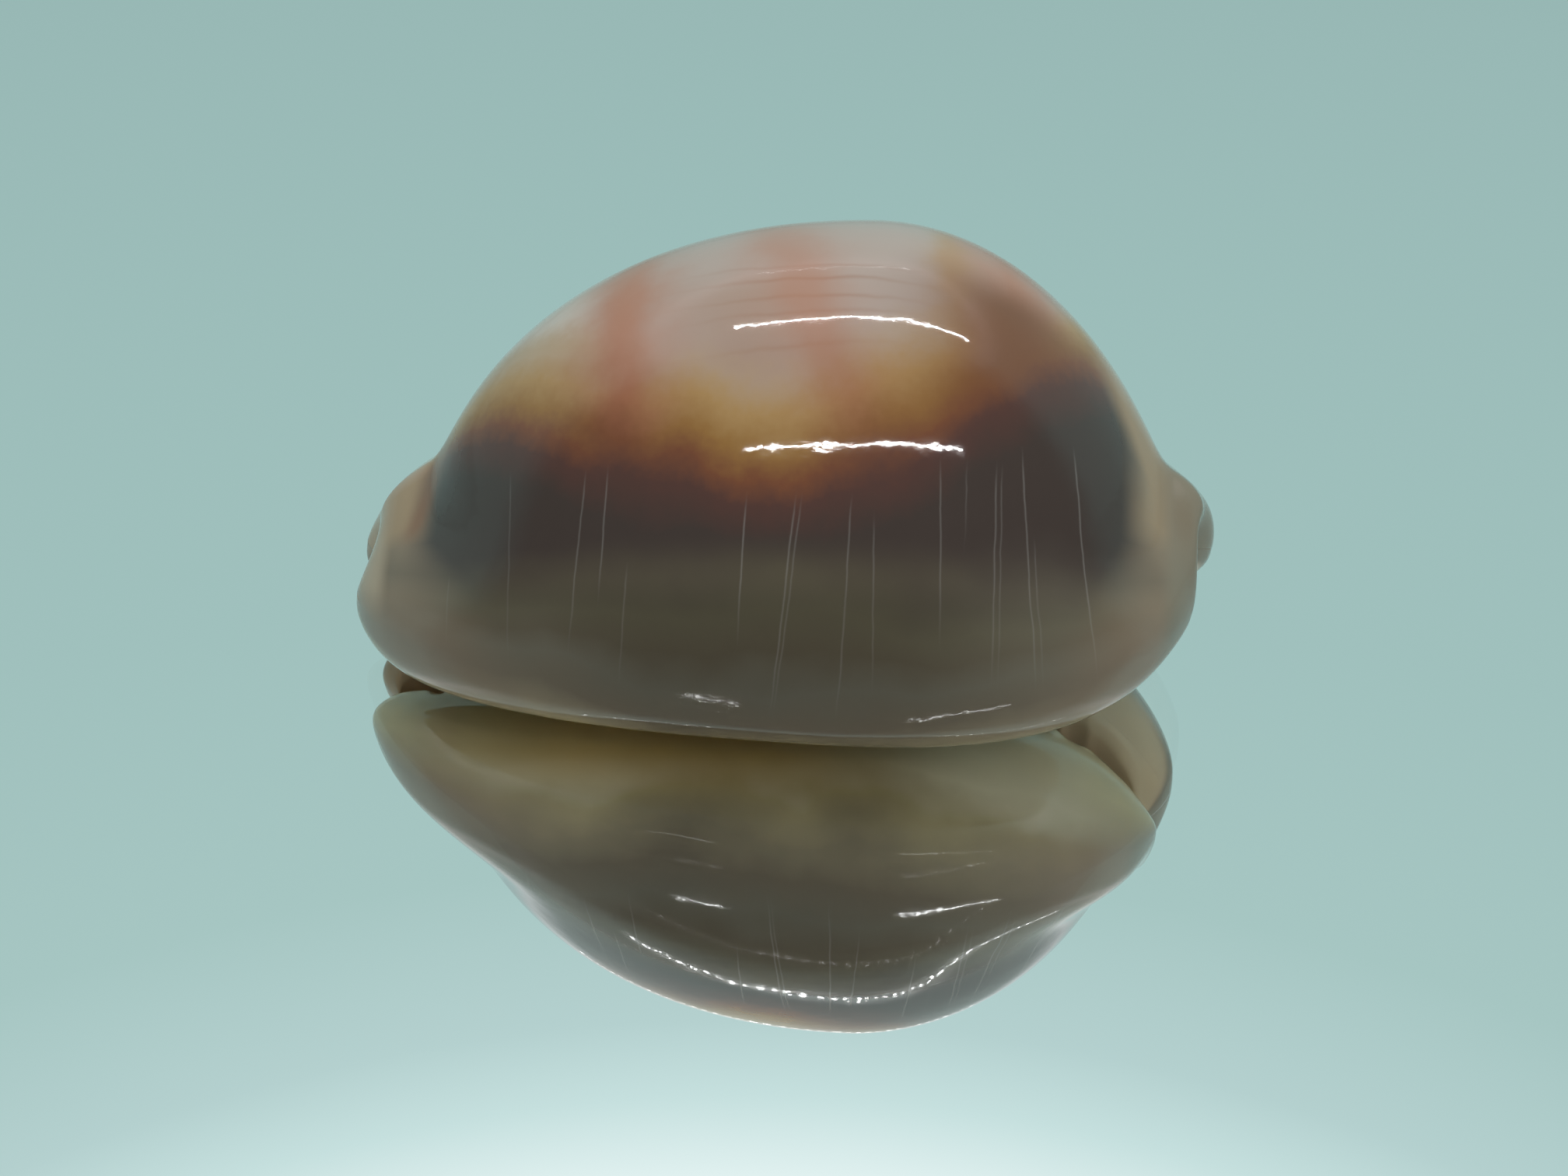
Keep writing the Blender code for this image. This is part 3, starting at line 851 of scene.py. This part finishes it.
# Colour ramps: where each starts and ends, and the colours' places between. The first two
# are read by the share past the field's edge, the others by the share from the dorsal line
GOLDEN_RIM = (
    -0.1,
    0.06,
    (
        (-0.054, CREAM),
        (-0.035, GOLD),
        (-0.019, OCHRE),
        (-0.004, BROWN),
        (0.010, PLUM),
        (0.036, SLATE),
    ),
)
RUSTY_BAND = (
    -0.1,
    0.06,
    ((-0.07, SALMON), (-0.037, RUST), (-0.014, BROWN), (0.006, PLUM), (0.036, SLATE)),
)
FLANK_TONES = (
    0.1,
    0.53,
    (
        (0.185, SLATE),
        (0.245, OLIVE),
        (0.27, UMBER),
        (0.30, TAUPE),
        (0.33, STONE),
        (0.355, FAWN),
        (0.38, SAND),
        (0.41, BASE_CREAM),
    ),
)
END_TONES = (
    0.0,
    0.5,
    (
        (0.02, END_PALE),
        (0.06, END_BEIGE),
        (0.15, END_BEIGE),
        (0.19, END_FAWN),
        (0.235, END_DARK),
        (0.27, END_FAWN),
        (0.31, END_LOW),
        (0.36, END_LOW),
        (0.42, SAND),
    ),
)


class Glaze(Finish):
    """The shell's glaze, with the places and noises that its markings are drawn from."""

    def __init__(self):
        super().__init__("shell_porcelain")
        self.place = self.node("ShaderNodeTexCoord", out="Object")
        self.along = self.part(self.place, "X") * (1 / MM)
        growth = self.node("ShaderNodeAttribute", {"attribute_name": "growth"}, out="Vector")
        self.share = self.part(growth, "X")
        self.inward = self.part(growth, "Y")
        self.tooth = self.part(growth, "Z")
        self.from_dorsal = abs(self.share - DORSAL_LINE)
        self.from_middle = abs(self.along)
        self.broad = self.noise(self.place, *BROAD_NOISE) - 0.5
        self.fine = self.noise(self.place, *FINE_NOISE) - 0.5
        self.wandering = self.along + self.broad * BROAD_WANDER

    def patch(self, along, down):
        """A step along the shell times a step away from the dorsal line."""
        return self.step(self.along, *along) * self.step(self.from_dorsal, *down)

    def past_edge(self):
        """How far round a place is past the dorsal field's edge, less than 0 inside it.

        The field narrows by the square of the distance from its widest place.
        """
        off = self.along - FIELD_WIDEST
        anterior = abs(self.math("MINIMUM", off, 0.0)) / FIELD_ANTERIOR
        posterior = self.math("MAXIMUM", off, 0.0) / FIELD_POSTERIOR
        narrows = anterior**2 * FIELD_NARROWS_ANTERIOR + posterior**2 * FIELD_NARROWS_POSTERIOR
        dent = self.bell(self.along, DENT_MIDDLE, DENT_HALF) * DENT
        grain = self.noise(self.place, *GRAIN_NOISE) - 0.5
        past = self.from_dorsal - FIELD_HALF + narrows + dent
        return past + self.broad * EDGE_BROAD + self.fine * EDGE_FINE + grain * EDGE_GRAIN

    def streak(self, at, rise, strength):
        """A bell across a path that rises along the shell."""
        path = self.share - self.along * rise + self.broad * STREAK_BROAD + self.fine * STREAK_FINE
        return self.bell(path, at, STREAK_HALF) * strength

    def band(self, middle, half, lean, strength):
        """A bell along the shell, whose middle leans on both sides of the dorsal line.

        The lean goes by the root of the sum of the squares of the distance from that
        line and of the turn, less the turn.
        """
        spread = (self.from_dorsal * self.from_dorsal + BAND_TURN**2) ** 0.5 - BAND_TURN
        path = self.along - spread * lean + self.fine * FINE_WANDER + self.broad * BROAD_WANDER
        return self.bell(path, middle, half) * strength

    def growth_line(self, middle, lean, top, bottom, strength):
        """A fine bell along the shell, between two shares of the way round."""
        path = self.along - (self.share - GROWTH_LINE_FROM) * lean + self.fine * GROWTH_LINE_WANDER
        line = self.bell(path, middle, GROWTH_LINE_HALF)
        line = line * self.step(self.share, top, top + GROWTH_LINE_STARTS)
        return line * self.step(self.share, bottom, bottom - GROWTH_LINE_FADES) * strength

    def pale_ground(self):
        """The pale ground of the dorsal field, with its streaks, its veil and its golden edge."""
        ground = self.blend(self.step(self.along, *PALER_ALONG), PALE, PALE_ANTERIOR)
        streaks = sum(self.streak(*streak) for streak in STREAKS)
        streaks = streaks * self.bell(self.along, STREAKS_MIDDLE, STREAKS_HALF)
        ground = self.blend(streaks, ground, STREAK_BROWN)
        veil = self.bell(self.wandering, VEIL_MIDDLE, VEIL_HALF)
        veil = veil * self.step(self.share, *VEIL_ROUND)
        ground = self.blend(veil * VEIL_SHOWS, ground, VEIL_ROSE)
        halo = self.bell(self.along + self.fine * FINE_WANDER, HALO_MIDDLE, HALO_HALF)
        halo = halo * self.step(self.share, *HALO_ROUND)
        return self.blend(halo * HALO_SHOWS, ground, GOLD)

    def dorsal_field(self):
        """Pale lobes with golden rims, the rusty bands between them, and the brown wash."""
        past = self.past_edge()
        further_in = self.step(self.along, *RIM_FURTHER_ALONG) * RIM_FURTHER_IN
        rim = self.step(past + further_in, *RIM_EDGE)
        colour = self.blend(rim, self.pale_ground(), self.ramp(past, *GOLDEN_RIM))
        bands = sum(self.band(*band) for band in BANDS)
        colour = self.blend(bands, colour, self.ramp(past, *RUSTY_BAND))
        wash = self.bell(self.wandering, WASH_MIDDLE, WASH_HALF)
        wash = wash * self.step(self.share, *WASH_ROUND) * self.step(past, *WASH_EDGE)
        return self.blend(wash * WASH_SHOWS, colour, WASH_BROWN)

    def add_flanks(self, colour):
        """The dark flanks and the base that they fade into, with the growth lines."""
        outward = self.step(self.from_middle + self.broad * BROAD_WANDER, *CROWDED_OUTWARD)
        lower = self.step(self.from_dorsal, *CROWDED_DOWN)
        shift = lower * (CROWDED_HIGH + CROWDED_LOW) - CROWDED_HIGH
        down = self.from_dorsal + outward * shift
        down = down + self.broad * FLANK_BROAD + self.fine * FLANK_FINE
        flank = self.ramp(down, *FLANK_TONES)
        colour = self.blend(self.step(self.from_dorsal, *FLANK_DOWN), colour, flank)

        higher = self.step(self.along, *CAST_HIGHER_ALONG) * CAST_HIGHER
        cast = self.step(self.from_dorsal + higher + self.broad * CAST_BROAD, *CAST_DOWN)
        cast = cast * self.step(self.from_middle, *CAST_OUTWARD)
        cast = cast * self.step(self.from_dorsal, *CAST_ABOVE_BASE)
        colour = self.blend(cast * CAST_SHOWS, colour, SIDE_GREY)

        yellow = self.step(self.wandering, *YELLOW_ALONG)
        yellow = yellow * self.step(self.from_dorsal, *YELLOW_DOWN)
        colour = self.blend(yellow, colour, BASE_YELLOW)
        brown = self.patch(BROWN_ALONG, BROWN_DOWN)
        colour = self.blend(brown * BROWN_SHOWS, colour, BASE_BROWN)
        lines = sum(self.growth_line(*line) for line in GROWTH_LINES)
        return self.blend(lines * GROWTH_LINES_SHOW, colour, LINE_WHITE)

    def add_ends(self, colour):
        """The beige ends and the crease at the anterior one: an orange-brown line, partly darkened
        as painted shade.
        """
        end = self.ramp(self.from_dorsal, *END_TONES)
        end = self.blend(self.patch(PALE_TIP_ALONG, PALE_TIP_DOWN), end, END_TIP)
        end = self.blend(self.patch(GREY_TIP_ALONG, GREY_TIP_DOWN), end, END_GREY)

        crest = self.patch(POSTERIOR_ALONG, CREST_DOWN) * CREST_NEARER
        shoulder = self.patch(POSTERIOR_ALONG, SHOULDER_DOWN) * SHOULDER_NEARER
        outward = self.from_middle + self.broad * ENDS_WANDER + crest + shoulder
        low = self.held((self.from_dorsal - ENDS_LOW_FROM) / ENDS_LOW_OVER, 0.0, 1.0)
        past_start = outward - ENDS_FROM + low * ENDS_NEARER
        ends = self.step(past_start / (ENDS_OVER + low * ENDS_OVER_MORE), 0.0, 1.0)
        colour = self.blend(ends, colour, end)

        # The crease is orange-brown on the shell, and darker still as painted shade in the valley
        # between dome and end
        path = self.along + self.from_dorsal * CREASE_LEAN + self.broad * CREASE_WANDER
        crease_and_shade = self.bell(path, CREASE_X, CREASE_HALF) * self.step(self.from_dorsal, *CREASE_DOWN)
        return self.blend(crease_and_shade * CREASE_SHOWS, colour, CREASE_BROWN_AND_SHADE)

    def add_aperture(self, colour):
        """The gaps between the teeth, the tinted base beside the slit's ends, and its inside, whose
        walls turn pale towards the posterior as painted light against the slit's shade.
        """
        colour = self.blend(self.step(self.tooth, *TOOTH_GAPS), colour, TOOTH_RED)
        labral_base = self.step(self.share, *LABRAL_BASE_ROUND)
        lobe = labral_base * self.step(self.along, *LOBE_ALONG)
        colour = self.blend(lobe * LOBE_SHOWS, colour, LOBE_BROWN)
        tip = labral_base * self.step(self.along, *TIP_ALONG)
        colour = self.blend(tip * TIP_SHOWS, colour, TIP_BROWN)
        walls = self.step(self.inward, *WALLS_INWARD)
        walls = walls * self.step(self.from_middle, *WALLS_OUTWARD)
        # Painted light: the slit's walls turn from brown to pale beige towards the posterior, to
        # lift the shade in the slit
        wall_tint_and_painted_light = self.blend(self.step(self.along, *WALLS_PAINTED_LIGHT_ALONG), WALL_BROWN, WALL_PAINTED_LIGHT)
        colour = self.blend(walls * WALLS_SHOW, colour, wall_tint_and_painted_light)
        hollow = self.step(self.inward, *HOLLOW_INWARD)
        hollow = hollow * self.step(self.from_middle, *HOLLOW_OUTWARD)
        return self.blend(hollow, colour, HOLLOW_WHITE)


def porcelain():
    """The glaze: a banded dorsal field, dark flanks with fine growth lines, a cream base."""
    glaze = Glaze()
    colour = glaze.add_aperture(glaze.add_ends(glaze.add_flanks(glaze.dorsal_field())))
    waves = sum(glaze.noise(glaze.place, scale, WAVE_DETAIL) * height for scale, height in WAVES)
    bump = glaze.node("ShaderNodeBump", {}, {"Height": waves, "Distance": 1.0})
    glaze.wear(
        {"Base Color": colour, "Roughness": GLAZE_ROUGHNESS, "IOR": GLAZE_IOR, "Normal": bump}
    )
    return glaze.material


shell = shell_piece(porcelain())
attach(shell, "root")
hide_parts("shell")


# Camera: fitted to the outlines of the shell and of its mirror image in the photograph
PHOTO_WIDTH = 2016
FOCAL_PIXELS = 2250.4
SENSOR_WIDTH = 36
CAMERA_DISTANCE = 113.51 * MM
CAMERA_ELEVATION = 32.10
CAMERA_AZIMUTH = 1.09
CAMERA_ROLL = 1.03
CAMERA_TARGET = (0.30 * MM, 3.48 * MM, 0.0)
SEES_FROM = 1 * MM
SEES_TO = 10.0


def camera():
    """A camera that looks at its target from the elevation and azimuth, turned by the roll."""
    elevation, azimuth, roll = (
        math.radians(a) for a in (CAMERA_ELEVATION, CAMERA_AZIMUTH, CAMERA_ROLL)
    )
    back = Vector(
        (
            math.sin(azimuth) * math.cos(elevation),
            -math.cos(azimuth) * math.cos(elevation),
            math.sin(elevation),
        )
    )
    level = Vector((math.cos(azimuth), math.sin(azimuth), 0))
    upright = back.cross(level)
    across = math.cos(roll) * level + math.sin(roll) * upright
    up = -math.sin(roll) * level + math.cos(roll) * upright
    data = bpy.data.cameras.new("camera")
    data.sensor_width = SENSOR_WIDTH
    data.lens = FOCAL_PIXELS * SENSOR_WIDTH / PHOTO_WIDTH
    data.clip_start = SEES_FROM
    data.clip_end = SEES_TO
    stand = bpy.data.objects.new("camera", data)
    stand.matrix_world = Matrix((across, up, back)).transposed().to_4x4()
    stand.location = Vector(CAMERA_TARGET) + back * CAMERA_DISTANCE
    bpy.context.scene.collection.objects.link(stand)
    bpy.context.scene.camera = stand


camera()

# Polished floor: a clear skin, and the pale mirror a little below it
FLOOR_SIDE = 3.0
CLEAR_SKIN_BELOW = 0.05 * MM
MIRROR_BELOW = 1.595 * MM
MIRROR_TINT = (0.96, 0.985, 0.98)
GLASS_IOR = 1.5

# Corners of a rectangle in half sides, in order round it
CORNERS = np.array([(-1, -1), (1, -1), (1, 1), (-1, 1)])


def mirror_pale():
    """A smooth metal, nearly white."""
    pale = Finish("mirror_pale")
    pale.wear({"Base Color": MIRROR_TINT, "Metallic": 1.0, "Roughness": 0.0})
    return pale.material


def clear_skin():
    """See-through, with the gloss that glass has at each angle, on its upper side alone."""
    skin = Finish("clear_skin")
    skin.tree.nodes.remove(skin.surface)
    fresnel = skin.node("ShaderNodeFresnel", {}, {"IOR": GLASS_IOR})
    underside = skin.node("ShaderNodeNewGeometry", out="Backfacing")
    shine = skin.node(
        "ShaderNodeMath", {"operation": "SUBTRACT", "use_clamp": True}, {0: fresnel, 1: underside}
    )
    through = skin.node("ShaderNodeBsdfTransparent")
    gloss = skin.node("ShaderNodeBsdfAnisotropic", {}, {"Roughness": 0.0})
    mix = skin.node("ShaderNodeMixShader", {}, {0: shine, 1: through, 2: gloss})
    skin.put(mix, skin.tree.nodes["Material Output"].inputs["Surface"])
    return skin.material


def floor_sheet(name, below, material):
    """A level square under the origin, this far below the plane that the shell rests on."""
    corners = np.column_stack([CORNERS * FLOOR_SIDE / 2, np.full(len(CORNERS), -below)])
    new_object(name, corners, [(0, 1, 2, 3)], material)


floor_sheet("floor_mirror", MIRROR_BELOW, mirror_pale())
floor_sheet("floor_skin", CLEAR_SKIN_BELOW, clear_skin())

# Rows of small lamps: name, middle, length, half sides of a lamp, glow
LAMPS_IN_ROW = 38
LAMP_WHITE = (1.0, 1.0, 1.0)
LAMP_ROWS = (
    ("lamps_overhead", (30 * MM, -18 * MM, 250 * MM), 250 * MM, (1.1 * MM, 0.8 * MM), 655.0),
    ("lamps_front", (25 * MM, -157 * MM, 125 * MM), 184 * MM, (1.5 * MM, 0.6 * MM), 298.0),
    ("lamps_back", (-30 * MM, 500 * MM, 770 * MM), 420 * MM, (3.0 * MM, 3.0 * MM), 6.0),
)

# Card under the front lamps, which parts their reflection low on the flank and in the
# floor. It glows about as the studio's near side does, so that it hardly shows itself
CARD_MIDDLE = (-1.5 * MM, -96.5 * MM, 60 * MM)
CARD_HALVES = (23 * MM, 13 * MM)
CARD_BLACK = (0.02, 0.02, 0.02)
CARD_GLOW = (0.15, 0.15, 0.14)


def reflected_row(name, middle, shifts, halves, material):
    """A row along x of rectangles that face the shell and show in reflections alone.

    A corner is the row's middle, plus a shift along x, plus or minus the half sides
    along x and along what is square both to x and to the way to the shell.
    """
    middle = np.array(middle)
    along = np.array((1.0, 0.0, 0.0))
    across = np.cross(-middle / np.linalg.norm(middle), along)
    corners = CORNERS[:, [0]] * halves[0] * along + CORNERS[:, [1]] * halves[1] * across
    centres = middle + np.outer(shifts, along)
    points = (centres[:, None] + corners).reshape(-1, 3)
    faces = np.arange(len(points)).reshape(-1, 4)[:, [0, 3, 2, 1]]
    row = new_object(name, points, faces.tolist(), material)
    row.visible_camera = False


def lamp_row(name, middle, length, halves, glow):
    """A row of lamps, evenly spaced over the length."""
    lit = Finish(name)
    lit.wear({"Emission Color": LAMP_WHITE, "Emission Strength": glow})
    shifts = length * ((np.arange(LAMPS_IN_ROW) + 0.5) / LAMPS_IN_ROW - 0.5)
    reflected_row(name, middle, shifts, halves, lit.material)


def card_grey():
    """Black and dull, with a faint grey glow."""
    grey = Finish("card_grey")
    grey.wear({"Base Color": CARD_BLACK, "Roughness": 1.0})
    grey.wear({"Emission Color": CARD_GLOW, "Emission Strength": 1.0})
    return grey.material


for lamps in LAMP_ROWS:
    lamp_row(*lamps)
reflected_row("dark_card", CARD_MIDDLE, [0.0], CARD_HALVES, card_grey())

# Studio light: colour by the sine of the elevation, linear, and what it fades to on the near side
STUDIO_STOPS = (
    (0.00, (0.30, 0.46, 0.44)),
    (0.23, (0.342, 0.515, 0.497)),
    (0.53, (0.371, 0.546, 0.527)),
    (0.656, (0.402, 0.578, 0.558)),
    (0.718, (0.479, 0.645, 0.638)),
    (0.747, (0.591, 0.761, 0.753)),
    (0.79, (0.90, 0.98, 0.98)),
    (0.86, (0.50, 0.60, 0.58)),
    (1.00, (0.42, 0.52, 0.50)),
)
NEAR_SIDE = (0.16, 0.16, 0.15)
NEAR_FADE = (-0.05, -0.35)


def studio():
    """The world's colour: a ramp of its direction's z, blended by y to a darker near side."""
    world = bpy.data.worlds.new("studio")
    world.use_nodes = True
    sky = Nodes(world.node_tree)
    way = sky.node("ShaderNodeTexCoord", out="Generated")
    far = sky.ramp(sky.part(way, "Z"), 0, 1, STUDIO_STOPS)
    colour = sky.blend(sky.step(sky.part(way, "Y"), *NEAR_FADE), far, NEAR_SIDE)
    sky.put(colour, sky.tree.nodes["Background"].inputs["Color"])
    bpy.context.scene.world = world


studio()
bpy.context.scene.view_settings.view_transform = "Standard"
